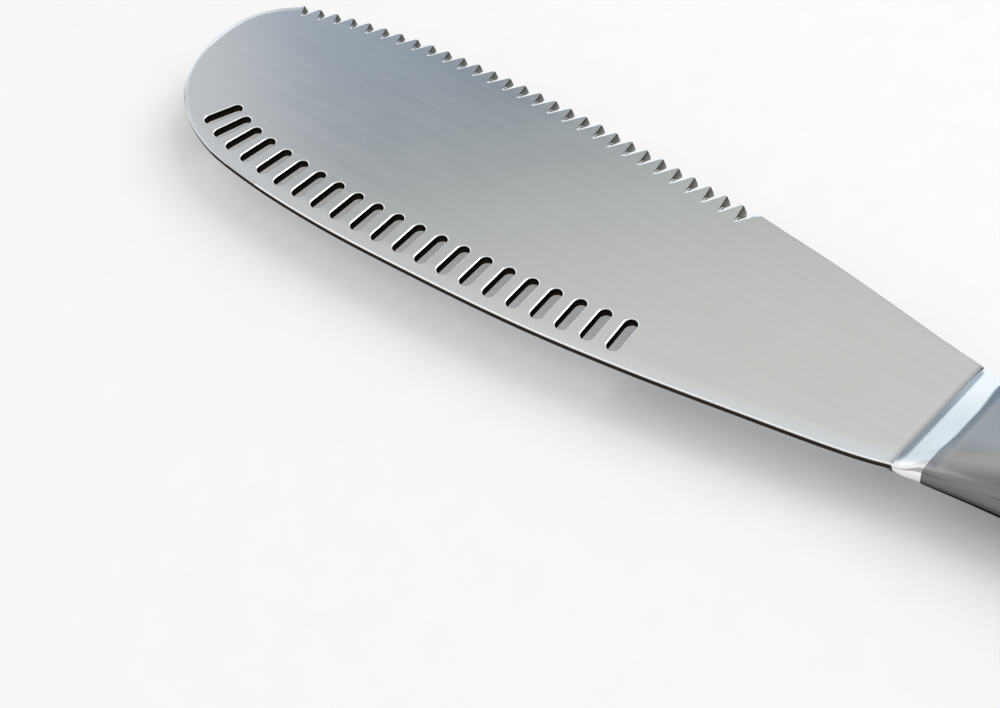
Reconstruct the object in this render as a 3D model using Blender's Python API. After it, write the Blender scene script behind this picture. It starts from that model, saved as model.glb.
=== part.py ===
"""Butter knife with a slotted curling edge, a ground serrated edge and a hollow handle.

Units: metres, +Z up.  The knife lies level: its length runs along X with the
rounded tip at -X and the handle at +X, the serrated edge is at +Y, the slotted
edge at -Y.  Design sizes below are in millimetres and are measured from the
foot of the blade (x = 0, y = 0 on the handle's axis, z = 0 in the sheet's
middle plane); everything is then moved so that the box round the knife stands
on z = 0 with its middle on the Z axis.  The handle's shells touch z = 0 with a
flat land under the palm swell.
"""
import bpy
import bmesh
import math
from mathutils import Vector

MM = 0.001

# ---- blade -----------------------------------------------------------------
SHEET = 1.0            # thickness of the blade
ARRIS = 0.16           # edge break on the underside and along the slotted edge
TIP_BEVEL = 1.0        # width of the bevel ground round the tip
TIP_BEVEL_DEPTH = 0.34
NEAR_EDGE = [(-0.7, -7.2), (-2.8, -7.8), (-6.0, -8.5), (-15.0, -10.05), (-28.0, -12.1),
             (-40.0, -13.5), (-54.0, -14.35), (-67.0, -14.7), (-78.0, -14.2), (-86.0, -13.0),
             (-92.0, -10.6), (-96.5, -6.9), (-99.1, -2.0), (-99.8, 2.4), (-99.1, 6.0),
             (-97.3, 8.6), (-95.2, 10.3)]
FAR_EDGE = [(-95.2, 10.3), (-91.5, 11.2), (-86.0, 12.3), (-79.0, 13.2), (-72.0, 13.72),
            (-64.0, 13.9), (-54.0, 13.65), (-45.0, 13.1), (-36.0, 12.4), (-30.3, 11.95),
            (-27.0, 11.5), (-20.0, 10.55), (-12.0, 9.2), (-5.0, 7.95), (-0.7, 7.3)]
EDGE_STEP = 1.25       # spacing of the points along the edges

# ---- serrations: one steep wall and one sloping floor per gullet -------------
GULLETS = 29
PITCH = 2.261
FIRST_TOOTH = 0.35     # along the serrated edge from its tip-side corner
ROOT_FORWARD = 0.8     # the root lies this far handle-side of the tooth before it
# depth on the top face and small shift of the tooth, each by distance along the edge
GULLET_DEPTHS = [(0.0, 1.90), (16.8, 1.96), (38.0, 2.37), (50.0, 2.56), (67.0, 2.64)]
TOOTH_SHIFT = [(0.0, 0.15), (15.0, 0.30), (37.0, 0.30), (50.0, 0.08), (67.0, -0.12)]
GULLET_BREAK = 0.28    # on the underside
TOOTH_LAND = 0.12
WALL_LEAN = 0.46       # the wall leans back by this much of its height

# ---- slots -------------------------------------------------------------------
SLOTS = 21
SLOT_PITCH = 3.02
SLOT_LONG = 4.66       # over the countersink
SLOT_WIDE = 1.64
SLOT_SINK = 0.09
SLOT_SINK_DEPTH = 0.09
SLOT_INSET = 3.70      # slot middle from the edge
FIRST_SLOT = 29.93     # first slot from the foot of the blade

# ---- tang --------------------------------------------------------------------
TANG_LONG = 44.0
TANG_WIDE = 6.0
TANG_THICK = 0.6
TANG_HOLE_X = 34.0
TANG_HOLE_R = 1.4

# ---- handle ------------------------------------------------------------------
GAP = 0.3              # clearance between neighbouring pieces
SLOT_GAP = 0.25        # clearance of the tang in the collar
COLLAR_FRONT = -0.4
COLLAR_END = 2.9
SHELL_FRONT = 3.2
BUTT = 106.2
ROUNDING = 92.0        # where the butt starts to round off
WALL = 0.8
SEAM = 0.15            # half the gap between the two shells
LAND_Z = 5.15          # flat land under the handle, below the middle plane
SECTION_POWER = 2.3
HALF_WIDTH = [(3.0, 6.8), (8.5, 5.98), (17.0, 5.4), (28.0, 5.6), (46.0, 6.8),
              (68.0, 8.45), (86.0, 9.3), (100.0, 9.5), (112.0, 9.4)]
HALF_THICK = [(3.0, 1.85), (8.5, 2.6), (18.0, 3.65), (30.0, 4.55), (48.0, 5.25),
              (66.0, 5.45), (86.0, 5.1), (100.0, 4.5), (112.0, 3.9)]
RING = 36

# ---- resin bed round the tang ---------------------------------------------------
BED_FRONT = 5.6
BED_END = 50.0


def spline(stations, steps=24):
    """Smooth curve through the stations, as a dense list of points."""
    pts = [Vector(p) for p in stations]
    pts = [2 * pts[0] - pts[1]] + pts + [2 * pts[-1] - pts[-2]]
    out = []
    for p0, p1, p2, p3 in zip(pts, pts[1:], pts[2:], pts[3:]):
        t0 = 0.0
        t1 = t0 + math.sqrt((p1 - p0).length)
        t2 = t1 + math.sqrt((p2 - p1).length)
        t3 = t2 + math.sqrt((p3 - p2).length)
        for k in range(steps):
            t = t1 + (t2 - t1) * k / steps
            a1 = p0 * ((t1 - t) / (t1 - t0)) + p1 * ((t - t0) / (t1 - t0))
            a2 = p1 * ((t2 - t) / (t2 - t1)) + p2 * ((t - t1) / (t2 - t1))
            a3 = p2 * ((t3 - t) / (t3 - t2)) + p3 * ((t - t2) / (t3 - t2))
            b1 = a1 * ((t2 - t) / (t2 - t0)) + a2 * ((t - t0) / (t2 - t0))
            b2 = a2 * ((t3 - t) / (t3 - t1)) + a3 * ((t - t1) / (t3 - t1))
            out.append(b1 * ((t2 - t) / (t2 - t1)) + b2 * ((t - t1) / (t2 - t1)))
    out.append(pts[-2].copy())
    return out


def walk(path, distance):
    """Point and unit direction at a distance along a dense path."""
    left = distance
    for a, b in zip(path, path[1:]):
        step = (b - a).length
        if left <= step and step > 0:
            return a.lerp(b, left / step), (b - a).normalized()
        left -= step
    return path[-1].copy(), (path[-1] - path[-2]).normalized()


def length_of(path):
    return sum((b - a).length for a, b in zip(path, path[1:]))


def along_edge(table, s):
    for (a, da), (b, db) in zip(table, table[1:]):
        if a <= s <= b:
            return da + (db - da) * (s - a) / (b - a)
    return table[-1][1]


def at(stations, x):
    """Smooth value of a station table at x."""
    for a, b in zip(stations_dense[id(stations)], stations_dense[id(stations)][1:]):
        if a.x <= x <= b.x:
            return a.y + (b.y - a.y) * (x - a.x) / (b.x - a.x)
    return stations_dense[id(stations)][-1].y


stations_dense = {id(t): spline(t) for t in (HALF_WIDTH, HALF_THICK)}
near_path = spline(NEAR_EDGE)
far_path = spline(FAR_EDGE)

# the box round the knife decides where the design's zero goes
TIP_X = min(p.x for p in near_path)
LOW_Y = min(p.y for p in near_path)
HIGH_Y = max(p.y for p in far_path)
OFFSET = Vector((-(TIP_X + BUTT) / 2, -(LOW_Y + HIGH_Y) / 2, LAND_Z))


def world(x, y, z):
    return Vector((x + OFFSET.x, y + OFFSET.y, z + OFFSET.z)) * MM


# ---- scene, collections, materials ---------------------------------------------
for old in list(bpy.data.objects):
    bpy.data.objects.remove(old, do_unlink=True)
for old in list(bpy.data.collections):
    bpy.data.collections.remove(old)

knife = bpy.data.collections.new("butter_knife")
bpy.context.scene.collection.children.link(knife)
tools = bpy.data.collections.new("cutters")
bpy.context.scene.collection.children.link(tools)


def material(name, colour, metallic, roughness):
    m = bpy.data.materials.new(name)
    m.use_nodes = True
    shader = m.node_tree.nodes["Principled BSDF"]
    shader.inputs["Base Color"].default_value = (*colour, 1.0)
    shader.inputs["Metallic"].default_value = metallic
    shader.inputs["Roughness"].default_value = roughness
    m.diffuse_color = (*colour, 1.0)
    return m


def add(name, bm, collection, mat=None):
    bmesh.ops.recalc_face_normals(bm, faces=bm.faces)
    mesh = bpy.data.meshes.new(name)
    bm.to_mesh(mesh)
    bm.free()
    obj = bpy.data.objects.new(name, mesh)
    collection.objects.link(obj)
    if mat:
        mesh.materials.append(mat)
        mesh.shade_smooth()
        mesh.set_sharp_from_angle(angle=math.radians(28))
    else:
        obj.hide_render = True
        obj.display_type = "WIRE"
    return obj


def cut(obj, tool, operation="DIFFERENCE"):
    b = obj.modifiers.new(tool.name, "BOOLEAN")
    b.operation = operation
    b.solver = "EXACT"
    b.object = tool


def loft(bm, rings, cap_start=True, cap_end=True):
    """Skin between rings of equal count, each a list of world points."""
    loops = [[bm.verts.new(p) for p in ring] for ring in rings]
    n = len(loops[0])
    for a, b in zip(loops, loops[1:]):
        for i in range(n):
            j = (i + 1) % n
            bm.faces.new((a[i], a[j], b[j], b[i]))
    if cap_start:
        bm.faces.new(loops[0])
    if cap_end:
        bm.faces.new(loops[-1])
    return loops


def box(bm, low, high):
    made = bmesh.ops.create_cube(bm, size=1.0)["verts"]
    lo, hi = world(*low), world(*high)
    for v in made:
        v.co = Vector(((hi.x + lo.x) / 2 + v.co.x * (hi.x - lo.x),
                       (hi.y + lo.y) / 2 + v.co.y * (hi.y - lo.y),
                       (hi.z + lo.z) / 2 + v.co.z * (hi.z - lo.z)))
    return made


# ---- blade -------------------------------------------------------------------
def blade_outline():
    """Closed outline from the slotted edge's foot round the tip to the other
    foot, with the inward direction and a bevel share (1 round the tip)."""
    pts = []
    for path in (near_path, far_path):
        total = length_of(path)
        count = max(2, round(total / EDGE_STEP))
        for k in range(count + (path is far_path)):
            p, d = walk(path, total * k / count)
            pts.append(p)
    out = []
    n = len(pts)
    for i, p in enumerate(pts):
        a = pts[max(i - 1, 0)]
        b = pts[min(i + 1, n - 1)]
        d = (b - a).normalized()
        inward = Vector((d.y, -d.x))          # the outline runs clockwise
        share = 0.0
        if p.x < -78.0 and p.y < 10.35:
            share = min(1.0, (-78.0 - p.x) / 12.0) if p.y < 0 else 1.0
        if i in (0, n - 1):
            inward = Vector((0.0, 1.0 if i == 0 else -1.0))
        out.append((p, inward, share))
    return out


def make_blade(mat):
    line = blade_outline()
    half = SHEET / 2
    rings = []
    for level in range(4):
        ring = []
        for p, inward, share in line:
            wide = ARRIS + (TIP_BEVEL - ARRIS) * share
            deep = ARRIS + (TIP_BEVEL_DEPTH - ARRIS) * share
            if level == 0:
                q, z = p + inward * wide, half
            elif level == 1:
                q, z = p, half - deep
            elif level == 2:
                q, z = p, -half + ARRIS
            else:
                q, z = p + inward * ARRIS, -half
            ring.append(world(q.x, q.y, z))
        rings.append(ring)
    bm = bmesh.new()
    loft(bm, rings)
    obj = add("blade", bm, knife, mat)

    # tang, joined to the foot of the sheet
    bm = bmesh.new()
    box(bm, (-3.0, -TANG_WIDE / 2, -TANG_THICK / 2), (TANG_LONG, TANG_WIDE / 2, TANG_THICK / 2))
    ends = [e for e in bm.edges
            if abs(e.verts[0].co.z - e.verts[1].co.z) > 1e-6
            and min(v.co.x for v in e.verts) > world(TANG_LONG - 0.1, 0, 0).x]
    bmesh.ops.bevel(bm, geom=ends, offset=1.6 * MM, segments=3, profile=0.5, affect="EDGES")
    cut(obj, add("tang_bar", bm, tools), "UNION")

    # keying hole through the tang
    bm = bmesh.new()
    made = bmesh.ops.create_cone(bm, cap_ends=True, segments=16, radius1=TANG_HOLE_R * MM,
                                 radius2=TANG_HOLE_R * MM, depth=4 * MM)["verts"]
    bmesh.ops.translate(bm, verts=made, vec=world(TANG_HOLE_X, 0, 0))
    cut(obj, add("tang_hole", bm, tools))

    # gullets: a steep wall across the edge and a floor that slopes out of it
    bm = bmesh.new()
    half = SHEET / 2
    for k in range(GULLETS):
        place = FIRST_TOOTH + PITCH * k
        tip, along = walk(far_path, place + along_edge(TOOTH_SHIFT, place))
        after = place + PITCH + along_edge(TOOTH_SHIFT, place + PITCH)
        nxt, _ = walk(far_path, after - (0 if k == GULLETS - 1 else TOOTH_LAND))
        out = Vector((-along.y, along.x))
        deep = along_edge(GULLET_DEPTHS, place)
        root = walk(far_path, place)[0] + along * ROOT_FORWARD - out * deep
        back = (nxt - root).normalized()
        wall = (tip - root).normalized()
        lean = back * WALL_LEAN / wall.dot(Vector((-back.y, back.x)))
        b = root.lerp(tip, 1 - GULLET_BREAK / deep) + lean * SHEET
        A = Vector((root.x, root.y, half))
        B = Vector((b.x, b.y, -half))
        C = Vector((nxt.x, nxt.y, half))
        run = B - A
        start = A - run * 0.25
        ab, ac, up = run * 2.6, C - A, Vector((-lean.x, -lean.y, 1.0)) * 3.4
        for v in bmesh.ops.create_cube(bm, size=1.0)["verts"]:
            q = start + ab * (v.co.x + 0.5) + ac * (v.co.y + 0.5) + up * (v.co.z + 0.5)
            v.co = world(q.x, q.y, q.z)
    cut(obj, add("gullet_cutters", bm, tools))

    # slots, each square to the slotted edge
    bm = bmesh.new()
    for k in range(SLOTS):
        p, along = walk(near_path, FIRST_SLOT + SLOT_PITCH * k)
        inward = Vector((along.y, -along.x))
        mid = p + inward * SLOT_INSET
        for_rings = []
        for grow, z in ((0.3, half + 0.3), (0.0, half), (-SLOT_SINK, half - SLOT_SINK_DEPTH),
                        (-SLOT_SINK, -half - 0.4)):
            r = SLOT_WIDE / 2 + grow * (1.0 if grow < 0 else 0.65)
            straight = (SLOT_LONG - SLOT_WIDE) / 2
            ring = []
            for side in (1, -1):
                for j in range(9):
                    t = math.pi * j / 8
                    q = mid + side * (inward * (straight + r * math.sin(t)) + along * (r * math.cos(t)))
                    ring.append(world(q.x, q.y, z))
            for_rings.append(ring)
        loft(bm, for_rings)
    cut(obj, add("slot_cutters", bm, tools))
    return obj


# ---- handle sections -----------------------------------------------------------
def ring_at(x, a, b, top=1.0, flat=None, count=RING, power=SECTION_POWER):
    pts = []
    for i in range(count):
        t = 2 * math.pi * (i + 0.5) / count
        c, s = math.cos(t), math.sin(t)
        y = a * math.copysign(abs(c) ** (2 / power), c)
        z = b * math.copysign(abs(s) ** (2 / power), s)
        if z > 0:
            z *= top
        if flat is not None:
            z = max(z, -flat)
        pts.append(world(x, y, z))
    return pts


def handle_body(name, inset, front, butt, flat=None, end=None, steps=30):
    """Closed body of the handle's outer shape drawn in by an inset."""
    bm = bmesh.new()
    rings = []
    last = end if end is not None else ROUNDING
    count = max(4, round(steps * (last - front) / (ROUNDING - 3.0)))
    for k in range(count + 1):
        x = front + (last - front) * k / count
        xs = max(x, 3.0)
        rings.append(ring_at(x, at(HALF_WIDTH, xs) - inset, at(HALF_THICK, xs) - inset, flat=flat))
    if end is None:
        for k in range(1, 9):
            t = math.pi / 2 * k / 9
            x = ROUNDING + (butt - ROUNDING) * math.sin(t)
            shrink = math.cos(t) ** 0.86
            rings.append(ring_at(x, (at(HALF_WIDTH, x) - inset) * shrink,
                                 (at(HALF_THICK, x) - inset) * shrink, flat=flat))
    loops = loft(bm, rings, cap_end=end is not None)
    if end is None:
        pole = bm.verts.new(world(butt, 0, 0))
        last_loop = loops[-1]
        for i in range(len(last_loop)):
            bm.faces.new((last_loop[i], last_loop[(i + 1) % len(last_loop)], pole))
    return bm


def make_shell(name, side, mat):
    obj = add(name, handle_body(name, 0.0, SHELL_FRONT, BUTT, flat=LAND_Z), knife, mat)
    cut(obj, add(name + "_hollow", handle_body(name, WALL, SHELL_FRONT - 2.0, BUTT - WALL), tools))
    bm = bmesh.new()
    if side > 0:
        box(bm, (-5, -20, -20), (120, 20, SEAM))
    else:
        box(bm, (-5, -20, -SEAM), (120, 20, 20))
    cut(obj, add(name + "_other_half", bm, tools))
    return obj


def make_collar(mat):
    """Bright front collar: a shoulder that rises off the blade, a short foot
    under the blade and a spigot that locates the shells."""
    rings = []
    end_a, end_b = at(HALF_WIDTH, 3.0), at(HALF_THICK, 3.0)
    for x, a, up, down in ((COLLAR_FRONT, 7.15, 0.72, 1.26),
                           (COLLAR_FRONT + 0.35, 7.15, 0.80, 1.30),
                           (COLLAR_FRONT + 1.4, 7.08, 1.24, 1.48),
                           (2.25, 6.95, 1.68, 1.70),
                           (2.6, 6.88, 1.79, 1.79),
                           (COLLAR_END, 6.8, end_b - 0.02, end_b - 0.02)):
        rings.append(ring_at(x, a, down, top=up / down, power=2.6))
    bm = bmesh.new()
    loft(bm, rings)
    obj = add("front_collar", bm, knife, mat)
    # foot under the blade
    bm = bmesh.new()
    rings = []
    for x, a, low in ((-4.6, 5.8, 0.98), (-2.8, 6.75, 1.10), (-0.7, 7.02, 1.24), (COLLAR_FRONT + 0.7, 7.02, 1.30)):
        top = SHEET / 2 + GAP
        ring = [world(x, s * a * f, -(top + (low - top) * g)) for s, f, g in
                ((1, 1, 0), (1, 0.98, 0.6), (1, 0.86, 1.0), (-1, 0.86, 1.0), (-1, 0.98, 0.6), (-1, 1, 0))]
        rings.append(ring)
    loft(bm, rings)
    cut(obj, add("collar_foot", bm, tools), "UNION")
    # spigot
    bm = bmesh.new()
    loft(bm, [ring_at(x, a, b) for x, a, b in ((COLLAR_END - 0.8, 5.5, 0.72), (COLLAR_END, 5.5, 0.72),
                                              (COLLAR_END + 2.3, 5.1, 0.92))])
    cut(obj, add("collar_spigot", bm, tools), "UNION")
    # slot for the tang
    bm = bmesh.new()
    box(bm, (-1.0, -TANG_WIDE / 2 - SLOT_GAP, -TANG_THICK / 2 - SLOT_GAP),
        (9.0, TANG_WIDE / 2 + SLOT_GAP, TANG_THICK / 2 + SLOT_GAP))
    cut(obj, add("collar_slot", bm, tools))
    return obj


def make_bed(mat):
    obj = add("tang_bed", handle_body("tang_bed", WALL + GAP, BED_FRONT, 0, end=BED_END, steps=26), knife, mat)
    bm = bmesh.new()
    box(bm, (0.0, -TANG_WIDE / 2 - GAP, -TANG_THICK / 2 - GAP),
        (TANG_LONG + GAP, TANG_WIDE / 2 + GAP, TANG_THICK / 2 + GAP))
    cut(obj, add("bed_pocket", bm, tools))
    return obj


steel = material("satin_blade_steel", (0.63, 0.64, 0.65), 1.0, 0.28)
bright = material("bright_collar_steel", (0.80, 0.81, 0.82), 1.0, 0.12)
shell_top = material("polished_shell_steel_top", (0.55, 0.56, 0.57), 1.0, 0.20)
shell_low = material("polished_shell_steel_bottom", (0.52, 0.53, 0.54), 1.0, 0.20)
resin = material("bedding_resin", (0.62, 0.58, 0.50), 0.0, 0.85)

make_blade(steel)
make_collar(bright)
make_shell("handle_shell_top", 1, shell_top)
make_shell("handle_shell_bottom", -1, shell_low)
make_bed(resin)

tools.hide_render = True
bpy.context.view_layer.update()
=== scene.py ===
"""Butter knife: the finished surfaces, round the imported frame.

Design sizes are in millimetres from the foot of the blade, as in the part's own
source (x = 0 foot of the blade, y = 0 handle axis, z = 0 middle plane of the
sheet), and world() puts them in the row frame in metres.
"""
import bpy
import bmesh
import math
from mathutils import Matrix, Vector

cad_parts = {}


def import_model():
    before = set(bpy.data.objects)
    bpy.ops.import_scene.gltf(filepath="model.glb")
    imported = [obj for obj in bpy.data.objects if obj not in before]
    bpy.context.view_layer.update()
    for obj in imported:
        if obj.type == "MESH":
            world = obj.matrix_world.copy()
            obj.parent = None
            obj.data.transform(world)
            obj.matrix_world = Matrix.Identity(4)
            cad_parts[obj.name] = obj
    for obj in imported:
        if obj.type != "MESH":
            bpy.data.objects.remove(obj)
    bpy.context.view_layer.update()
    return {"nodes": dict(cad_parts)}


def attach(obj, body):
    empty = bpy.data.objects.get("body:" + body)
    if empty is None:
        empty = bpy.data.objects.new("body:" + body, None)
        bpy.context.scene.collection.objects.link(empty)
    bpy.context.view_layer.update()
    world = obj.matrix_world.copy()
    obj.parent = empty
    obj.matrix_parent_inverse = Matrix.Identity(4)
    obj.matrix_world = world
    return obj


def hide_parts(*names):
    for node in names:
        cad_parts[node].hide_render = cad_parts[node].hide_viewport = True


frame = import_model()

MM = 0.001

# ---- sizes shared with the construction, in millimetres ----------------------
SHEET = 1.0
HALF = SHEET / 2
TIP_BEVEL, TIP_BEVEL_DEPTH = 0.9, 0.31
NEAR_EDGE = [(-0.52, -7.15), (-2.8, -7.8), (-6.0, -8.5), (-15.0, -10.05), (-28.0, -12.1),
             (-40.0, -13.5), (-54.0, -14.35), (-67.0, -14.7), (-78.0, -14.2), (-86.0, -13.0),
             (-92.0, -10.6), (-96.5, -6.9), (-99.1, -2.0), (-99.8, 2.4), (-99.1, 6.0),
             (-97.3, 8.6), (-95.2, 10.3)]
FAR_EDGE = [(-95.2, 10.3), (-91.5, 11.2), (-86.0, 12.3), (-79.0, 13.2), (-72.0, 13.72),
            (-64.0, 13.9), (-54.0, 13.65), (-45.0, 13.1), (-36.0, 12.4), (-30.3, 11.95),
            (-27.0, 11.5), (-20.0, 10.55), (-12.0, 9.2), (-5.0, 7.95), (-0.52, 7.27)]
GULLETS, PITCH, FIRST_TOOTH = 29, 2.261, 0.35
ROOT_FORWARD, TOOTH_LAND = 0.8, 0.12
WALL_LEAN = 0.46       # a gullet's wall leans back by this much of its height
GULLET_DEPTHS = [(0.0, 1.80), (16.8, 1.86), (38.0, 2.27), (50.0, 2.46), (64.4, 2.54)]
TOOTH_SHIFT = [(0.0, 0.15), (15.0, 0.30), (37.0, 0.30), (50.0, 0.08), (67.0, -0.12)]
SLOTS, SLOT_PITCH, FIRST_SLOT = 21, 3.02, 29.93
SLOT_LONG, SLOT_WIDE, SLOT_SINK, SLOT_INSET = 4.72, 1.71, 0.125, 3.70
TANG_LONG, TANG_WIDE, TANG_THICK, TANG_HOLE_X, TANG_HOLE_R = 44.0, 6.0, 0.6, 34.0, 1.4
BUTT, ROUNDING, WALL, LAND_Z, SECTION_POWER = 106.2, 92.0, 0.8, 5.15, 2.3
HALF_WIDTH = [(3.0, 6.8), (8.5, 5.98), (17.0, 5.4), (28.0, 5.6), (46.0, 6.8),
              (68.0, 8.45), (86.0, 9.3), (100.0, 9.5), (112.0, 9.4)]
HALF_THICK = [(3.0, 1.74), (8.5, 2.55), (18.0, 3.65), (30.0, 4.55), (48.0, 5.25),
              (66.0, 5.425), (86.0, 5.1), (100.0, 4.5), (112.0, 3.9)]

# ---- finish sizes --------------------------------------------------------------
EDGE_STEP = 0.5        # spacing of points along the blade's outline
BUTT_END = BUTT - 0.045
# upper edge as (distance in from the outline, height): a narrow eased bevel on the
# slotted side, a small rounding on the toothed side
ARRIS = [(0.23, 0.0), (0.155, -0.020), (0.08, -0.040), (0.05, -0.052), (0.025, -0.072), (0.008, -0.098), (0.0, -0.13)]
FAR_ARRIS = [(0.10, 0.0), (0.074, -0.003), (0.05, -0.013), (0.03, -0.03), (0.013, -0.05), (0.003, -0.074), (0.0, -0.10)]
UNDER_ARRIS = 0.36
CROWN_WIDE = 2.2       # the slotted margin falls away very slightly
CROWN_DROP = 0.06
# ground floor of a gullet: (slope in degrees, how far it runs in plan)
GULLET_FLOOR = [(10.0, 0.06), (17.0, 0.50), (35.0, 0.04), (62.0, 0.75)]
ROOT_ROUND = 0.15      # rounding of a gullet's root, in plan
SEAM = 0.02            # half of the hairline between the two handle shells
JOINT = 0.012          # half of the hairline between collar and shells
FILLET = 3.0           # hollow radius between blade and collar
FOOT_SLOPE = math.radians(8.0)
COLLAR_END = 2.82
LEAN = 0.45            # the collar's rear line leans forward down its flanks
RAMP = math.radians(22.0)
CREST_RADIUS = 1.0
BOXY = 7.0             # squareness of the collar's section where it meets the blade
HANDLE_FRONT_POWER = 4.0
HALF_RING = 56         # points over one half of a handle section


def spline(stations, steps=30):
    """Smooth curve through the stations, as a dense list of points."""
    pts = [Vector(p) for p in stations]
    pts = [2 * pts[0] - pts[1]] + pts + [2 * pts[-1] - pts[-2]]
    out = []
    for p0, p1, p2, p3 in zip(pts, pts[1:], pts[2:], pts[3:]):
        t0 = 0.0
        t1 = t0 + math.sqrt((p1 - p0).length)
        t2 = t1 + math.sqrt((p2 - p1).length)
        t3 = t2 + math.sqrt((p3 - p2).length)
        for k in range(steps):
            t = t1 + (t2 - t1) * k / steps
            a1 = p0 * ((t1 - t) / (t1 - t0)) + p1 * ((t - t0) / (t1 - t0))
            a2 = p1 * ((t2 - t) / (t2 - t1)) + p2 * ((t - t1) / (t2 - t1))
            a3 = p2 * ((t3 - t) / (t3 - t2)) + p3 * ((t - t2) / (t3 - t2))
            b1 = a1 * ((t2 - t) / (t2 - t0)) + a2 * ((t - t0) / (t2 - t0))
            b2 = a2 * ((t3 - t) / (t3 - t1)) + a3 * ((t - t1) / (t3 - t1))
            out.append(b1 * ((t2 - t) / (t2 - t1)) + b2 * ((t - t1) / (t2 - t1)))
    out.append(pts[-2].copy())
    return out


def walk(path, distance):
    """Point and unit direction at a distance along a dense path."""
    left = distance
    for a, b in zip(path, path[1:]):
        step = (b - a).length
        if left <= step and step > 0:
            return a.lerp(b, left / step), (b - a).normalized()
        left -= step
    return path[-1].copy(), (path[-1] - path[-2]).normalized()


def length_of(path):
    return sum((b - a).length for a, b in zip(path, path[1:]))


def table_at(dense, x):
    for a, b in zip(dense, dense[1:]):
        if a.x <= x <= b.x:
            return a.y + (b.y - a.y) * (x - a.x) / (b.x - a.x)
    return dense[0].y if x < dense[0].x else dense[-1].y


def smooth(a, b, x):
    t = min(1.0, max(0.0, (x - a) / (b - a)))
    return t * t * (3 - 2 * t)


near_path, far_path = spline(NEAR_EDGE), spline(FAR_EDGE)
width_line, thick_line = spline(HALF_WIDTH), spline(HALF_THICK)
TIP_X = min(p.x for p in near_path)
LOW_Y = min(p.y for p in near_path)
HIGH_Y = max(p.y for p in far_path)
OFFSET = Vector((-(TIP_X + BUTT) / 2, -(LOW_Y + HIGH_Y) / 2, LAND_Z))


def world(x, y, z):
    return Vector((x + OFFSET.x, y + OFFSET.y, z + OFFSET.z)) * MM


def design(p):
    return p / MM - OFFSET


# ---- mesh helpers -----------------------------------------------------------------
def loft(bm, rings, cap_start=True, cap_end=True):
    loops = [[bm.verts.new(p) for p in ring] for ring in rings]
    n = len(loops[0])
    for a, b in zip(loops, loops[1:]):
        for i in range(n):
            j = (i + 1) % n
            bm.faces.new((a[i], a[j], b[j], b[i]))
    if cap_start:
        bm.faces.new(loops[0])
    if cap_end:
        bm.faces.new(loops[-1])
    return loops


def make_object(name, bm):
    bmesh.ops.recalc_face_normals(bm, faces=bm.faces)
    mesh = bpy.data.meshes.new(name)
    bm.to_mesh(mesh)
    bm.free()
    obj = bpy.data.objects.new(name, mesh)
    bpy.context.scene.collection.objects.link(obj)
    return obj


def boolean(obj, tools):
    """Applies the cuts and joins in turn and drops the tools."""
    for tool, operation in tools:
        m = obj.modifiers.new(tool.name, "BOOLEAN")
        m.operation, m.solver, m.object = operation, "EXACT", tool
    bpy.context.view_layer.update()
    dg = bpy.context.evaluated_depsgraph_get()
    mesh = bpy.data.meshes.new_from_object(obj.evaluated_get(dg))
    obj.modifiers.clear()
    old = obj.data
    obj.data = mesh
    bpy.data.meshes.remove(old)
    mesh.name = obj.name
    for tool, _ in tools:
        data = tool.data
        bpy.data.objects.remove(tool, do_unlink=True)
        bpy.data.meshes.remove(data)


def dress(obj, materials, pick=None, sharp=math.radians(30), crisp=None):
    """Smooth shading with sharp edges by angle, one material slot per finish,
    and normals that follow the larger face."""
    mesh = obj.data
    mesh.materials.clear()
    for m in materials:
        mesh.materials.append(m)
    bm = bmesh.new()
    bm.from_mesh(mesh)
    bm.normal_update()
    for f in bm.faces:
        f.smooth = True
        f.material_index = pick(f) if pick else 0
    for e in bm.edges:
        if len(e.link_faces) == 2:
            turn = e.link_faces[0].normal.angle(e.link_faces[1].normal, 0.0)
            e.smooth = not (turn > sharp or (crisp and crisp(e, turn)))
        else:
            e.smooth = False
    bm.to_mesh(mesh)
    bm.free()
    w = obj.modifiers.new("face_weighted", "WEIGHTED_NORMAL")
    w.mode, w.weight, w.keep_sharp = "FACE_AREA", 90, True


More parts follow.
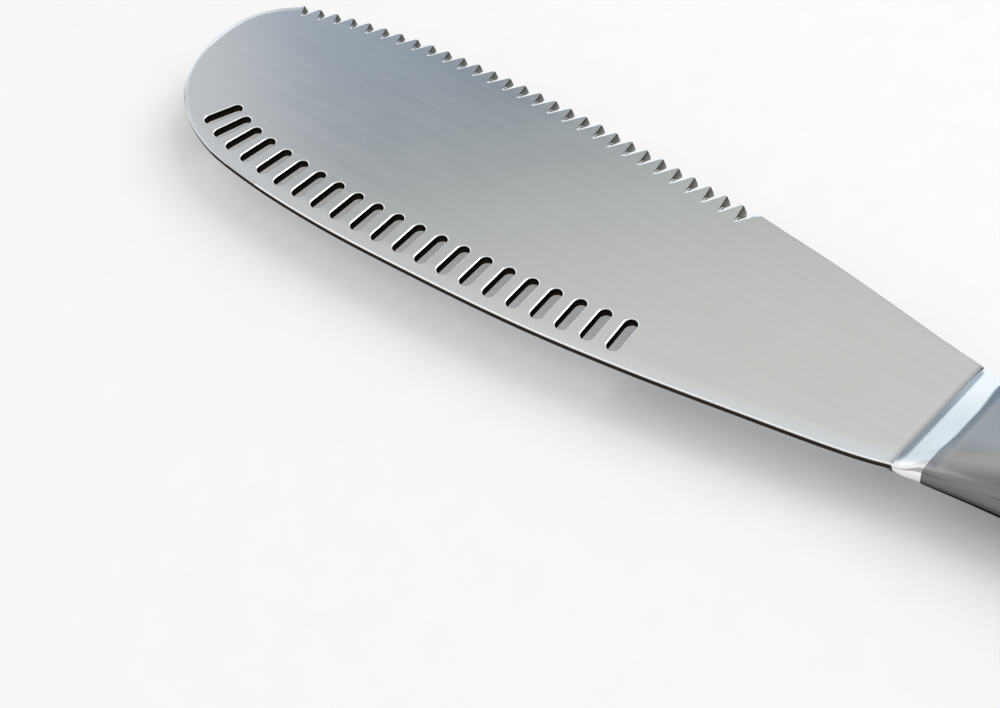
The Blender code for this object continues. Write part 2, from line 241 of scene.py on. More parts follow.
# ---- node materials -----------------------------------------------------------------
class Nodes:
    """Short hand for a material's node tree."""

    def __init__(self, name):
        self.mat = bpy.data.materials.new(name)
        self.mat.use_nodes = True
        self.tree = self.mat.node_tree
        self.shader = self.tree.nodes["Principled BSDF"]

    def new(self, kind, **values):
        n = self.tree.nodes.new(kind)
        for k, v in values.items():
            setattr(n, k, v)
        return n

    def join(self, a, b):
        self.tree.links.new(a, b)

    def coords(self, scale, spin=0.0):
        tc = self.new("ShaderNodeTexCoord")
        mp = self.new("ShaderNodeMapping")
        mp.inputs["Scale"].default_value = scale
        mp.inputs["Rotation"].default_value = (0.0, 0.0, spin)
        self.join(tc.outputs["Object"], mp.inputs["Vector"])
        return mp.outputs["Vector"]

    def noise(self, vector, scale=1.0, detail=3.0, rough=0.5):
        n = self.new("ShaderNodeTexNoise")
        n.inputs["Scale"].default_value = scale
        n.inputs["Detail"].default_value = detail
        n.inputs["Roughness"].default_value = rough
        self.join(vector, n.inputs["Vector"])
        return n.outputs["Fac"]

    def span(self, value, low, high, start=0.3, stop=0.7):
        """Maps a noise value from start..stop to low..high."""
        m = self.new("ShaderNodeMapRange")
        m.clamp = True
        for k, v in (("From Min", start), ("From Max", stop), ("To Min", low), ("To Max", high)):
            m.inputs[k].default_value = v
        self.join(value, m.inputs["Value"])
        return m.outputs["Result"]

    def mix(self, factor, a, b):
        m = self.new("ShaderNodeMix", data_type="RGBA")
        self.join(factor, m.inputs["Factor"])
        for socket, v in ((m.inputs[6], a), (m.inputs[7], b)):
            if isinstance(v, tuple):
                socket.default_value = (*v, 1.0)
            else:
                self.join(v, socket)
        return m.outputs[2]

    def maths(self, op, a, b):
        m = self.new("ShaderNodeMath", operation=op)
        for socket, v in zip(m.inputs, (a, b)):
            if isinstance(v, (int, float)):
                socket.default_value = v
            else:
                self.join(v, socket)
        return m.outputs["Value"]

    def bump(self, height, strength, distance):
        b = self.new("ShaderNodeBump")
        b.inputs["Strength"].default_value = strength
        b.inputs["Distance"].default_value = distance
        self.join(height, b.inputs["Height"])
        self.join(b.outputs["Normal"], self.shader.inputs["Normal"])

    def base(self, colour):
        self.join(colour, self.shader.inputs["Base Color"])

    def rough(self, value):
        self.join(value, self.shader.inputs["Roughness"])


def brushed(name, dark, light, rough_low, rough_high, lines=(90.0, 7000.0, 3000.0),
            bump=0.05, blotch=0.5, spin=0.0, painted_shade_strength=0.0, painted_toe_shade=None, painted_sweep_light=None):
    """Steel drawn lengthwise: fine long streaks in colour, gloss and height over
    a slow cloudiness of handling. A painted-shade strength paints shade low down
    by the shoulder, with the specular tint dimmed near the front; a toe (from x,
    to x, rising with x, colour) paints shade beside the hollow where blade and
    collar meet; a sweep paints a paler, bluer reflection across the knife and a
    near-white one along the near flank."""
    n = Nodes(name)
    n.shader.inputs["Metallic"].default_value = 1.0
    streak = n.noise(n.coords(lines, spin), 1.0, 4.0, 0.6)
    long_streak = n.noise(n.coords((lines[0] * 0.25, lines[1] * 0.16, lines[2] * 0.16), spin), 1.0, 2.0, 0.5)
    cloud = n.noise(n.coords((60.0, 110.0, 110.0), spin + 0.35), 1.0, 3.0, 0.55)
    both = n.maths("ADD", n.maths("MULTIPLY", streak, 0.6), n.maths("MULTIPLY", long_streak, 0.4))
    tone = n.maths("ADD", n.maths("MULTIPLY", both, 1.0 - blotch), n.maths("MULTIPLY", cloud, blotch))
    steel = n.mix(n.span(tone, 0.0, 1.0, 0.36, 0.64), dark, light)
    tc = n.new("ShaderNodeTexCoord")
    part = n.new("ShaderNodeSeparateXYZ")
    n.join(tc.outputs["Object"], part.inputs[0])
    # painted shade: darkens the steel towards the given colour beside the hollow where blade and collar meet
    if painted_toe_shade:
        low, high, rising, colour = painted_toe_shade
        share = n.span(part.outputs["X"], 0.0 if rising else 1.0, 1.0 if rising else 0.0,
                       world(low, 0, 0).x, world(high, 0, 0).x)
        steel = n.mix(share, steel, colour)
    # painted reflection: paler and bluer towards the far side, near white along the near flank
    if painted_sweep_light:
        steel = n.mix(n.span(part.outputs["Y"], 0.0, 1.0, world(0, 0.0, 0).y, world(0, 4.5, 0).y), steel, painted_sweep_light)
        steel = n.mix(n.span(part.outputs["Y"], 1.0, 0.0, world(0, -6.6, 0).y, world(0, -5.8, 0).y), steel, (0.97, 0.97, 0.98))
    # painted shade over the handle's front, fading out from x 12 to 34
    if painted_shade_strength:
        fore = n.span(part.outputs["X"], 1.0, 0.0, world(12.0, 0, 0).x, world(34.0, 0, 0).x)
        slant = n.maths("SUBTRACT", part.outputs["Y"], n.maths("MULTIPLY", part.outputs["X"], 0.35))
        low_end, high_end = world(5.0, -5.6, 0), world(5.0, -1.4, 0)
        over = n.span(slant, 0.0, 1.0, low_end.y - 0.35 * low_end.x, high_end.y - 0.35 * high_end.x)
        grain = n.span(tone, 0.94, 1.06, 0.36, 0.64)
        # painted shade across the top: dark towards the near side, pale towards the far side
        front = n.mix(over, (0.215, 0.218, 0.228), (0.655, 0.645, 0.64))
        steel = n.mix(fore, steel, front)
        def level(one, zero, climb=0.0):
            height = n.maths("SUBTRACT", part.outputs["Z"], n.maths("MULTIPLY", part.outputs["X"], climb))
            less = climb * world(7.3, 0, 0).x
            return n.span(height, 1.0, 0.0, world(0, 0, one).z - less, world(0, 0, zero).z - less)

        # painted shade in steps down the flanks
        steel = n.mix(n.maths("MULTIPLY", level(1.6, 1.95, 0.07), fore), steel, (0.48, 0.485, 0.495))
        steel = n.mix(n.maths("MULTIPLY", level(1.1, 1.36, 0.05), fore), steel, (0.195, 0.198, 0.204))
        steel = n.mix(n.maths("MULTIPLY", level(-0.06, 0.0), fore), steel, (0.17, 0.171, 0.173))
        # painted shade: a dark bluish line just behind the collar joint
        start = n.span(part.outputs["X"], 1.0, 0.0, world(3.1, 0, 0).x, world(3.55, 0, 0).x)
        upper = n.span(part.outputs["Z"], 0.0, 0.9, world(0, 0, 1.3).z, world(0, 0, 1.5).z)
        line = n.mix(n.span(part.outputs["Y"], 1.0, 0.0, world(0, -5.6, 0).y, world(0, -3.4, 0).y), (0.355, 0.40, 0.46), (0.225, 0.245, 0.275))
        steel = n.mix(n.maths("MULTIPLY", start, upper), steel, line)
        # painted shade low on the sides
        low = n.maths("MULTIPLY", level(-0.5, -0.08), n.maths("SUBTRACT", 1.0, level(-1.7, -1.0)))
        shade = n.maths("MULTIPLY", n.maths("MULTIPLY", low, fore), painted_shade_strength)
        steel = n.mix(n.maths("MULTIPLY", shade, grain), steel, (0.085, 0.085, 0.087))
        # dimmed specular tint over the front keeps grazing reflections dark there: painted shade
        n.join(n.mix(fore, (0.75, 0.75, 0.75), (0.2, 0.2, 0.2)), n.shader.inputs["Specular Tint"])
    n.base(steel)
    n.rough(n.span(tone, rough_low, rough_high, 0.36, 0.64))
    n.bump(both, bump, 0.00002)
    return n.mat


def ground(name, dark, light, rough_low, rough_high, scale=2500.0):
    """Freshly cut or punched steel with a fine cross grain."""
    n = Nodes(name)
    n.shader.inputs["Metallic"].default_value = 1.0
    grain = n.noise(n.coords((scale, scale * 0.3, scale * 1.4)), 1.0, 3.0, 0.6)
    n.base(n.mix(n.span(grain, 0.0, 1.0, 0.35, 0.65), dark, light))
    n.rough(n.span(grain, rough_low, rough_high, 0.35, 0.65))
    n.bump(grain, 0.06, 0.00001)
    return n.mat


def walled(name, upper, lower, rough_low, rough_high, low=-0.5, high=0.5, scale=2600.0):
    """Sheared or ground wall coloured with painted shade: dark under its upper lip and paler towards the foot."""
    n = Nodes(name)
    n.shader.inputs["Metallic"].default_value = 1.0
    grain = n.noise(n.coords((scale * 0.5, scale * 0.5, scale * 1.6)), 1.0, 3.0, 0.6)
    tc = n.new("ShaderNodeTexCoord")
    part = n.new("ShaderNodeSeparateXYZ")
    n.join(tc.outputs["Object"], part.inputs[0])
    # painted shade: the colour runs from upper at the top to lower at the foot
    level = n.span(part.outputs["Z"], 1.0, 0.0, world(0, 0, low).z, world(0, 0, high).z)
    level = n.maths("ADD", level, n.span(grain, -0.12, 0.12, 0.3, 0.7))
    n.base(n.mix(n.span(level, 0.0, 1.0, 0.0, 1.0), upper, lower))
    n.rough(n.span(grain, rough_low, rough_high, 0.35, 0.65))
    n.bump(grain, 0.05, 0.00001)
    n.shader.inputs["Specular Tint"].default_value = (0.4, 0.4, 0.4, 1.0)
    return n.mat


def bevelled(name, stops, rough_low, rough_high):
    """Ground bevel round the tip, coloured as a painted reflection that changes across
    the knife, pale and bluish in the middle and darker towards its ends; stops are
    (distance across, colour)."""
    n = Nodes(name)
    n.shader.inputs["Metallic"].default_value = 1.0
    grain = n.noise(n.coords((900.0, 900.0, 2600.0)), 1.0, 3.0, 0.6)
    tc = n.new("ShaderNodeTexCoord")
    part = n.new("ShaderNodeSeparateXYZ")
    n.join(tc.outputs["Object"], part.inputs[0])
    low, high = stops[0][0], stops[-1][0]
    r = n.new("ShaderNodeValToRGB")
    while len(r.color_ramp.elements) < len(stops):
        r.color_ramp.elements.new(0.5)
    for e, (y, colour) in zip(r.color_ramp.elements, stops):
        e.position = (y - low) / (high - low)
        e.color = (*colour, 1.0)
    n.join(n.span(part.outputs["Y"], 0.0, 1.0, world(0, low, 0).y, world(0, high, 0).y), r.inputs["Fac"])
    n.base(n.mix(n.span(grain, 0.0, 0.06, 0.35, 0.65), r.outputs["Color"], (0.9, 0.9, 0.9)))
    n.rough(n.span(grain, rough_low, rough_high, 0.35, 0.65))
    n.bump(grain, 0.03, 0.00001)
    return n.mat


# blade steel, with painted shade on the blade's end just before the collar
satin = brushed("satin_blade_steel", (0.605, 0.612, 0.62), (0.645, 0.652, 0.658), 0.145, 0.18,
                bump=0.02, blotch=0.35, painted_toe_shade=(-1.1, -0.52, True, (0.335, 0.352, 0.372)))
# pale steel for arrises and gullet floors: partly the freshly ground finish, partly a painted highlight on those faces
bright = ground("bright_ground_steel_and_painted_highlight", (0.84, 0.85, 0.86), (0.93, 0.94, 0.95), 0.12, 0.2)
# tip bevel: painted reflection, pale bluish across the middle and dark at its ends
bevel_painted_reflection = bevelled("ground_bevel_painted_reflection", [
    (-10.4, (0.60, 0.61, 0.62)), (-8.7, (0.41, 0.41, 0.42)), (-5.2, (0.82, 0.88, 0.93)),
    (1.0, (0.73, 0.79, 0.86)), (7.2, (0.66, 0.71, 0.74)), (9.8, (0.36, 0.40, 0.46))], 0.14, 0.18)
# painted shade: near-black and dark brown walls of the gullets and slots and the blanked edges
gullet_wall_painted_shade = walled("ground_wall_painted_shade", (0.06, 0.065, 0.05), (0.33, 0.34, 0.29), 0.35, 0.5)
slot_wall_painted_shade = walled("punched_wall_painted_shade", (0.004, 0.003, 0.002), (0.03, 0.022, 0.014), 0.4, 0.55)
edge_painted_shade = walled("blanked_edge_painted_shade", (0.045, 0.038, 0.03), (0.025, 0.021, 0.018), 0.35, 0.5)
# collar steel with painted shade in the hollow at the blade and a painted reflection, paler and bluer to the far side
# and near white on the near flank
collar_steel = brushed("bright_collar_steel", (0.68, 0.735, 0.775), (0.72, 0.775, 0.815), 0.10, 0.15,
                       lines=(900.0, 90.0, 900.0), bump=0.015, blotch=0.4, painted_toe_shade=(-0.1, 0.3, False, (0.58, 0.61, 0.64)),
                       painted_sweep_light=(0.86, 0.91, 0.92))
# handle shells with painted shade over their front near the collar
shell_up_steel = brushed("polished_shell_steel_top", (0.44, 0.45, 0.46), (0.50, 0.51, 0.52), 0.17, 0.22,
                         bump=0.02, painted_shade_strength=0.92)
shell_low_steel = brushed("polished_shell_steel_bottom", (0.43, 0.44, 0.45), (0.49, 0.50, 0.51), 0.17, 0.22,
                          bump=0.02, painted_shade_strength=0.92)

resin = Nodes("bedding_resin")
grit = resin.noise(resin.coords((1.0, 1.0, 1.0)), 2600.0, 4.0, 0.6)
resin.base(resin.mix(resin.span(grit, 0.0, 1.0, 0.4, 0.6), (0.50, 0.46, 0.38), (0.70, 0.66, 0.57)))
resin.rough(resin.span(grit, 0.75, 0.92))
resin.bump(grit, 0.3, 0.0001)
bed = frame["nodes"]["tang_bed"]
bed.data.materials.clear()
bed.data.materials.append(resin.mat)


# ---- blade ----------------------------------------------------------------------------
def edge_profile(share, crown, near):
    """Steps (distance in from the edge, height) from the flat top face, over the
    slightly falling margin and the rounded or bevelled upper edge, down the side
    and round the lower edge."""
    steps = []
    arris = ARRIS if near else FAR_ARRIS
    wide = arris[0][0] + (TIP_BEVEL - arris[0][0]) * share

    # where there is no falling margin the rings draw together near the edge
    span = wide + 0.06 + (CROWN_WIDE - wide - 0.06) * crown / CROWN_DROP

    def top(u):
        return HALF - crown * (1 - min(1.0, (u - wide) / (span - wide))) ** 2

    for t in (1.0, 0.78, 0.56, 0.34, 0.15):
        u = wide + (span - wide) * t
        steps.append((u, top(u)))
    steps.append((wide, top(wide)))
    for k, (u, z) in enumerate(arris[1:], 1):
        t = k / (len(arris) - 1)
        flat_u, flat_z = wide * (1 - t), -TIP_BEVEL_DEPTH * t
        steps.append((u + (flat_u - u) * share, top(wide) + z + (flat_z - z) * share))
    for k in range(4):
        t = k / 3 * math.pi / 2
        steps.append((UNDER_ARRIS * (1 - math.cos(t)), -HALF + UNDER_ARRIS * (1 - math.sin(t))))
    return steps


def blade_line():
    pts = []
    for path in (near_path, far_path):
        total = length_of(path)
        count = max(2, round(total / EDGE_STEP))
        for k in range(count + (path is far_path)):
            pts.append((walk(path, total * k / count)[0], path is near_path))
    out = []
    n = len(pts)
    for i, (p, near) in enumerate(pts):
        a, b = pts[max(i - 1, 0)][0], pts[min(i + 1, n - 1)][0]
        d = (b - a).normalized()
        inward = Vector((d.y, -d.x))
        share = 0.0
        if p.x < -78.0 and p.y < 10.35:
            share = 0.42 + 0.58 * smooth(-5.0, 3.0, p.y)
            share *= smooth(-78.0, -88.0, p.x) if p.y < 0 else 1.0
        crown = CROWN_DROP * smooth(-93.0, -80.0, p.x) if near and p.y < 0 else 0.0
        if i in (0, n - 1):
            inward = Vector((0.0, 1.0 if i == 0 else -1.0))
        out.append((p, inward, share, crown, near))
    return out


def box(bm, low, high):
    lo, hi = world(*low), world(*high)
    made = bmesh.ops.create_cube(bm, size=1.0)["verts"]
    for v in made:
        v.co = Vector(((hi.x + lo.x) / 2 + v.co.x * (hi.x - lo.x),
                       (hi.y + lo.y) / 2 + v.co.y * (hi.y - lo.y),
                       (hi.z + lo.z) / 2 + v.co.z * (hi.z - lo.z)))
    return made


def along_edge(table, s):
    for (a, da), (b, db) in zip(table, table[1:]):
        if a <= s <= b:
            return da + (db - da) * (s - a) / (b - a)
    return table[-1][1]


def gullet(bm, k):
    """Ground gullet: one plan outline, with a steep wall on the tooth's side and a
    rounded root, carried outward down a floor that grows steeper."""
    place = FIRST_TOOTH + PITCH * k
    tip, along = walk(far_path, place + along_edge(TOOTH_SHIFT, place))
    last = k == GULLETS - 1
    after = place + PITCH + along_edge(TOOTH_SHIFT, place + PITCH)
    nxt, _ = walk(far_path, after + (0.06 if last else -TOOTH_LAND))
    out = Vector((-along.y, along.x))
    deep = along_edge(GULLET_DEPTHS, place) + 0.1
    root = walk(far_path, place)[0] + along * ROOT_FORWARD - out * deep
    wall = (tip - root).normalized()
    back = (nxt - root).normalized()
    # rounded root between the wall and the floor's upper line
    reach = ROOT_ROUND / math.tan(wall.angle(back) / 2)
    start, stop = root + wall * reach, root + back * reach
    plan = [root + wall * 6.0, start]
    for j in range(1, 8):
        t = j / 8
        plan.append(start.lerp(root, t).lerp(root.lerp(stop, t), t))
    plan.append(stop)
    if last:
        # the last floor rolls over into the neck's edge
        bend, knee = root.lerp(nxt, 1 - 1.05 / deep), root.lerp(nxt, 1 - 0.42 / deep)
        land, _ = walk(far_path, after + 0.66)
        for j in range(9):
            t = j / 8
            plan.append(bend.lerp(knee, t).lerp(knee.lerp(land, t), t))
        nxt = plan[-1] + along * 0.5 + out * 0.02
    plan.append(nxt)
    plan.append(nxt + wall * 4.0)
    # how far along the wall one millimetre straight out from the floor's line is
    normal = Vector((-back.y, back.x))
    share = wall.dot(normal)
    levels = [(-0.35, HALF + 0.35 * math.tan(math.radians(GULLET_FLOOR[0][0]))), (0.0, HALF)]
    u, z = 0.0, HALF
    for slope, run in GULLET_FLOOR:
        u += run
        z -= run * math.tan(math.radians(slope))
        levels.append((u, z))
    rings = []
    for u, z in levels:
        slide = (wall * u + back * WALL_LEAN * (HALF - z)) / share
        rings.append([world(q.x, q.y, z) for q in (p + slide for p in plan)])
    top = [v + Vector((0.0, 0.0, 3.0 * MM)) for v in rings[0]]
    loft(bm, [top] + rings)


def make_blade():
    line = blade_line()
    profiles = [edge_profile(share, crown, near) for _, _, share, crown, near in line]
    rings = []
    for level in range(len(profiles[0])):
        ring = []
        for (p, inward, *_), prof in zip(line, profiles):
            u, z = prof[level]
            q = p + inward * u
            ring.append(world(q.x, q.y, z))
        rings.append(ring)
    bm = bmesh.new()
    loft(bm, rings)
    obj = make_object("spreader_blade", bm)
    cuts = []

    bm = bmesh.new()
    box(bm, (-3.0, -TANG_WIDE / 2, -TANG_THICK / 2), (TANG_LONG, TANG_WIDE / 2, TANG_THICK / 2))
    ends = [e for e in bm.edges
            if abs(e.verts[0].co.z - e.verts[1].co.z) > 1e-6
            and min(v.co.x for v in e.verts) > world(TANG_LONG - 0.1, 0, 0).x]
    bmesh.ops.bevel(bm, geom=ends, offset=1.6 * MM, segments=6, profile=0.5, affect="EDGES")
    cuts.append((make_object("tool_tang", bm), "UNION"))
    bm = bmesh.new()
    made = bmesh.ops.create_cone(bm, cap_ends=True, segments=40, radius1=TANG_HOLE_R * MM,
                                 radius2=TANG_HOLE_R * MM, depth=4 * MM)["verts"]
    bmesh.ops.translate(bm, verts=made, vec=world(TANG_HOLE_X, 0, 0))
    cuts.append((make_object("tool_hole", bm), "DIFFERENCE"))

    bm = bmesh.new()
    for k in range(GULLETS):
        gullet(bm, k)
    cuts.append((make_object("tool_gullets", bm), "DIFFERENCE"))

    bm = bmesh.new()
    for k in range(SLOTS):
        p, along = walk(near_path, FIRST_SLOT + SLOT_PITCH * k)
        inward = Vector((along.y, -along.x))
        mid = p + inward * SLOT_INSET
        rings = []
        for shrink, z in ((-0.45, HALF + 0.18), (0.0, HALF), (0.055, HALF - 0.022), (0.09, HALF - 0.045),
                          (SLOT_SINK - 0.01, HALF - 0.070), (SLOT_SINK, HALF - 0.10),
                          (SLOT_SINK, -HALF + 0.07), (SLOT_SINK - 0.04, -HALF + 0.02), (0.0, -HALF - 0.1)):
            r = SLOT_WIDE / 2 - shrink
            straight = (SLOT_LONG - SLOT_WIDE) / 2
            ring = []
            for side in (1, -1):
                for j in range(17):
                    t = math.pi * j / 16
                    q = mid + side * (inward * (straight + r * math.sin(t)) + along * (r * math.cos(t)))
                    ring.append(world(q.x, q.y, z))
            rings.append(ring)
        loft(bm, rings)
    cuts.append((make_object("tool_slots", bm), "DIFFERENCE"))
    boolean(obj, cuts)

    def pick(f):
        c = design(f.calc_center_median())
        if abs(f.normal.z) > 0.985 or c.x > -0.5:
            return 0
        s = min((c.xy - p).length for p in near_path) if c.x < -77 or abs(f.normal.z) < 0.6 else 2.0
        if abs(f.normal.z) > 0.6:
            if c.x > -29.5 and c.y > 0:
                return 4
            return 5 if c.x < -77 and s < 1.1 else 1
        if f.normal.z < -0.2 - 0.4 * smooth(-82.0, -90.0, c.x):
            return 0
        # walls: slots and gullets are punched and ground, the outline is blanked; their dark colours are painted shade
        if c.x > -29.5 and c.y > 0:
            return 4
        if s < 0.7:
            return 4
        return 3 if c.y < 6.0 else 2

    def crisp(e, turn):
        a, b = (f.normal.z for f in e.link_faces)
        return turn > math.radians(9) and (max(a, b) > 0.996)

    dress(obj, [satin, bright, gullet_wall_painted_shade, slot_wall_painted_shade, edge_painted_shade, bevel_painted_reflection], pick, math.radians(27), crisp)
    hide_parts("blade")
    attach(obj, "root")
    return obj


# ---- handle ------------------------------------------------------------------------------
def half_section(a, b, side, power=SECTION_POWER, flat=None, lift=0.0, count=HALF_RING):
    """Points over the upper (side 1) or lower (side -1) half of a rounded
    section, from +Y to -Y, as (y, z)."""
    pts = []
    for i in range(count + 1):
        t = math.pi * i / count
        c, s = math.cos(t), math.sin(t)
        y = a * math.copysign(abs(c) ** (2 / power), c)
        z = b * abs(s) ** (2 / power)
        z = max(z, lift)
        if flat is not None and side < 0:
            z = min(z, flat)
        pts.append((y, side * z))
    return pts


def handle_stations():
    """(outer x, inner x, share of the full section) from the collar to the butt."""
    out = []
    front = COLLAR_END + JOINT
    count = 130
    for k in range(count + 1):
        x = front + (ROUNDING - front) * (k / count)
        out.append((x, x, 1.0))
    for k in range(1, 34):
        t = math.pi / 2 * min(k / 33, 0.996)
        out.append((ROUNDING + (BUTT_END - ROUNDING) * math.sin(t),
                    ROUNDING + (BUTT_END - WALL - ROUNDING) * math.sin(t), math.cos(t) ** 0.86))
    return out


def make_shell(name, side, mat, node):
    bm = bmesh.new()
    rings = []
    for xo, xi, share in handle_stations():
        a, b = table_at(width_line, xo), table_at(thick_line, xo)
        ai, bi = table_at(width_line, xi) - WALL, table_at(thick_line, xi) - WALL
        power = section_power(xo) if side > 0 else under_power(xo)
        outer = [lean(xo, y, z) for y, z in
                 half_section(a * share, b * share, side, power, flat=LAND_Z,
                              lift=min(SEAM, b * share * 0.5))]
        inner = [world(xi, y, z) for y, z in
                 half_section(ai * share, bi * share, side, power,
                              lift=min(SEAM, bi * share * 0.5))]
        rings.append(outer + inner[::-1])
    loft(bm, rings)
    obj = make_object(name, bm)
    dress(obj, [mat], None, math.radians(32))
    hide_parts(node)
    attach(obj, "root")
    return obj


# ---- collar --------------------------------------------------------------------------------
def collar_stations():
    """(x, half width, height above the sheet's middle, depth below) along the
    collar: a hollow fillet off the blade, a straight ramp, a soft crest."""
    end_a, end_b = table_at(width_line, COLLAR_END), table_at(thick_line, COLLAR_END)
    rows = []
    front = -0.512
    after = math.radians(9.0)
    for k in range(11):
        phi = FOOT_SLOPE + (RAMP - FOOT_SLOPE) * k / 10
        rows.append((front + FILLET * (math.sin(phi) - math.sin(FOOT_SLOPE)),
                     HALF + FILLET * (math.cos(FOOT_SLOPE) - math.cos(phi))))
    fx, fz = rows[-1]
    stop = COLLAR_END - JOINT
    ramp_end = stop - CREST_RADIUS * (math.sin(RAMP) - math.sin(after))
    for k in range(1, 11):
        x = fx + (ramp_end - fx) * k / 10
        rows.append((x, fz + (x - fx) * math.tan(RAMP)))
    cx, cz = rows[-1]
    for k in range(1, 9):
        phi = RAMP + (after - RAMP) * k / 8
        rows.append((cx + CREST_RADIUS * (math.sin(RAMP) - math.sin(phi)),
                     cz + CREST_RADIUS * (math.cos(phi) - math.cos(RAMP))))
    out = []
    for x, up in rows:
        t = (x - front) / (stop - front)
        a = 7.24 + (end_a - 7.24) * smooth(0.2, 1.0, t)
        down = 0.86 + (end_b - 0.86) * smooth(0.0, 1.0, t)
        out.append((x, a, up + (end_b - rows[-1][1]) * t ** 3, down))
    return out


def section_power(x):
    """The section is boxy at the blade and softens along the handle."""
    if x < COLLAR_END:
        return BOXY + (HANDLE_FRONT_POWER - BOXY) * smooth(0.6, COLLAR_END, x)
    return HANDLE_FRONT_POWER + (SECTION_POWER - HANDLE_FRONT_POWER) * smooth(COLLAR_END, 15.0, x)


def lean(x, y, z):
    """Leans the joint round the handle's front forward, low on its flanks."""
    share = smooth(0.6, COLLAR_END, x) * (1 - smooth(COLLAR_END, 9.0, x))
    return world(x - share * (LEAN + 0.1 * smooth(0.7, -0.9, z)) * smooth(1.5, 7.0, abs(y)), y, z)


def under_power(x):
    """Below the seam the section is rounder."""
    return 2.8 + (SECTION_POWER - 2.8) * smooth(COLLAR_END, 15.0, x)


def full_section(x, a, up, down, power, under=None, count=160):
    pts = []
    for i in range(count):
        t = 2 * math.pi * (i + 0.5) / count
        c, s = math.cos(t), math.sin(t)
        e = 2 / (power if s > 0 or under is None else under)
        y = a * math.copysign(abs(c) ** e, c)
        z = (up if s > 0 else down) * math.copysign(abs(s) ** e, s)
        pts.append(lean(x, y, z))
    return pts


def make_collar():
    rows = collar_stations()
    bm = bmesh.new()
    rings = []
    for x, a, up, down in rows:
        rings.append(full_section(x, a, up, down, section_power(x), under_power(x)))
    loft(bm, rings)
    obj = make_object("shoulder_collar", bm)
    tools = []
    # foot that thickens the neck from below
    bm = bmesh.new()
    rings = []
    for k in range(15):
        t = k / 14
        x = -4.6 + 4.2 * t
        a = 5.9 + 1.16 * smooth(0.0, 0.75, t)
        low = 0.60 + 0.26 * t ** 0.8
        top = HALF + 0.02
        ring = []
        for i in range(33):
            u = math.pi * i / 32
            y = a * math.copysign(abs(math.cos(u)) ** (2 / 3.2), math.cos(u))
            z = -(top + (low - top) * abs(math.sin(u)) ** (2 / 3.2))
            ring.append(world(x, y, z))
        rings.append(ring)
    loft(bm, rings)
    tools.append((make_object("tool_foot", bm), "UNION"))
    # spigot inside the shells
    bm = bmesh.new()
    spigot = []
    for x, a, b in ((2.1, 5.5, 0.72), (2.9, 5.5, 0.72), (5.2, 5.1, 0.92)):
        spigot.append(full_section(x, a, b, b, SECTION_POWER, 72))
    loft(bm, spigot)
    tools.append((make_object("tool_spigot", bm), "UNION"))
    # seat of the blade's foot, and the slot for its tang
    bm = bmesh.new()
    box(bm, (-6.0, -9.0, -HALF - 0.004), (-0.516, 9.0, HALF + 0.001))
    tools.append((make_object("tool_seat", bm), "DIFFERENCE"))
    bm = bmesh.new()
    box(bm, (-1.0, -TANG_WIDE / 2 - 0.05, -TANG_THICK / 2 - 0.05), (9.0, TANG_WIDE / 2 + 0.05, TANG_THICK / 2 + 0.05))
    tools.append((make_object("tool_slot", bm), "DIFFERENCE"))
    boolean(obj, tools)

    def pick(f):
        c = design(f.calc_center_median())
        # the foot's lower faces under the blade take the dark edge colour: painted shade
        return 1 if c.x < -0.40 and f.normal.z < 0.35 else 0

    dress(obj, [collar_steel, edge_painted_shade], pick, math.radians(30))
    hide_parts("front_collar")
    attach(obj, "root")
    return obj


make_blade()
make_collar()
make_shell("handle_upper_half", 1, shell_up_steel, "handle_shell_top")
make_shell("handle_lower_half", -1, shell_low_steel, "handle_shell_bottom")

# ---- floor ----------------------------------------------------------------------------------
bm = bmesh.new()
bmesh.ops.create_grid(bm, x_segments=2, y_segments=2, size=1.5)
floor = make_object("pale_floor", bm)
floor.location.z = -0.00002
f = Nodes("pale_floor_paint")
f.shader.inputs["Specular IOR Level"].default_value = 0.2
speck = f.noise(f.coords((1.0, 1.0, 1.0)), 220.0, 5.0, 0.6)
f.base(f.mix(f.span(speck, 0.0, 1.0), (0.79, 0.79, 0.786), (0.81, 0.81, 0.806)))
f.rough(f.span(speck, 0.62, 0.7))
# a softly lit table, so that the shadows stay pale
f.shader.inputs["Emission Color"].default_value = (1.0, 1.0, 0.995, 1.0)
f.shader.inputs["Emission Strength"].default_value = 0.13
floor.data.materials.append(f.mat)

# ---- camera -----------------------------------------------------------------------------------
cam_data = bpy.data.cameras.new("camera")
cam_data.sensor_fit = "HORIZONTAL"
cam_data.sensor_width = 36.0
cam_data.lens = 77.545
cam_data.clip_start = 0.001
cam_data.clip_end = 20.0
cam = bpy.data.objects.new("camera", cam_data)
bpy.context.scene.collection.objects.link(cam)
back = Vector((0.5363, -0.4435, 0.7181)).normalized()
right = Vector((0.7322, 0.6677, -0.1345))
right = (right - back * right.dot(back)).normalized()
up = back.cross(right)
turn = Matrix((right, up, back)).transposed()
cam.matrix_world = Matrix.Translation((0.069126, -0.108640, 0.153998)) @ turn.to_4x4()
bpy.context.scene.camera = cam


# ---- light ---------------------------------------------------------------------------------------
def lamp(name, azimuth, elevation, distance, size, power, colour=(1, 1, 1), aim=(-0.03, 0, 0.005)):
    data = bpy.data.lights.new(name, "AREA")
    data.shape = "RECTANGLE"
    data.size, data.size_y = size
    data.energy = power
    data.color = colour
    obj = bpy.data.objects.new(name, data)
    bpy.context.scene.collection.objects.link(obj)
    a, e = math.radians(azimuth), math.radians(elevation)
    d = Vector((math.cos(a) * math.cos(e), math.sin(a) * math.cos(e), math.sin(e)))
    obj.location = Vector(aim) + d * distance
    obj.rotation_mode = "QUATERNION"
    obj.rotation_quaternion = (-d).to_track_quat("-Z", "Y")
    return obj


lamp("softbox_side", 58, 52, 0.8, (0.6, 0.6), 2.6, (1.0, 0.99, 0.97))

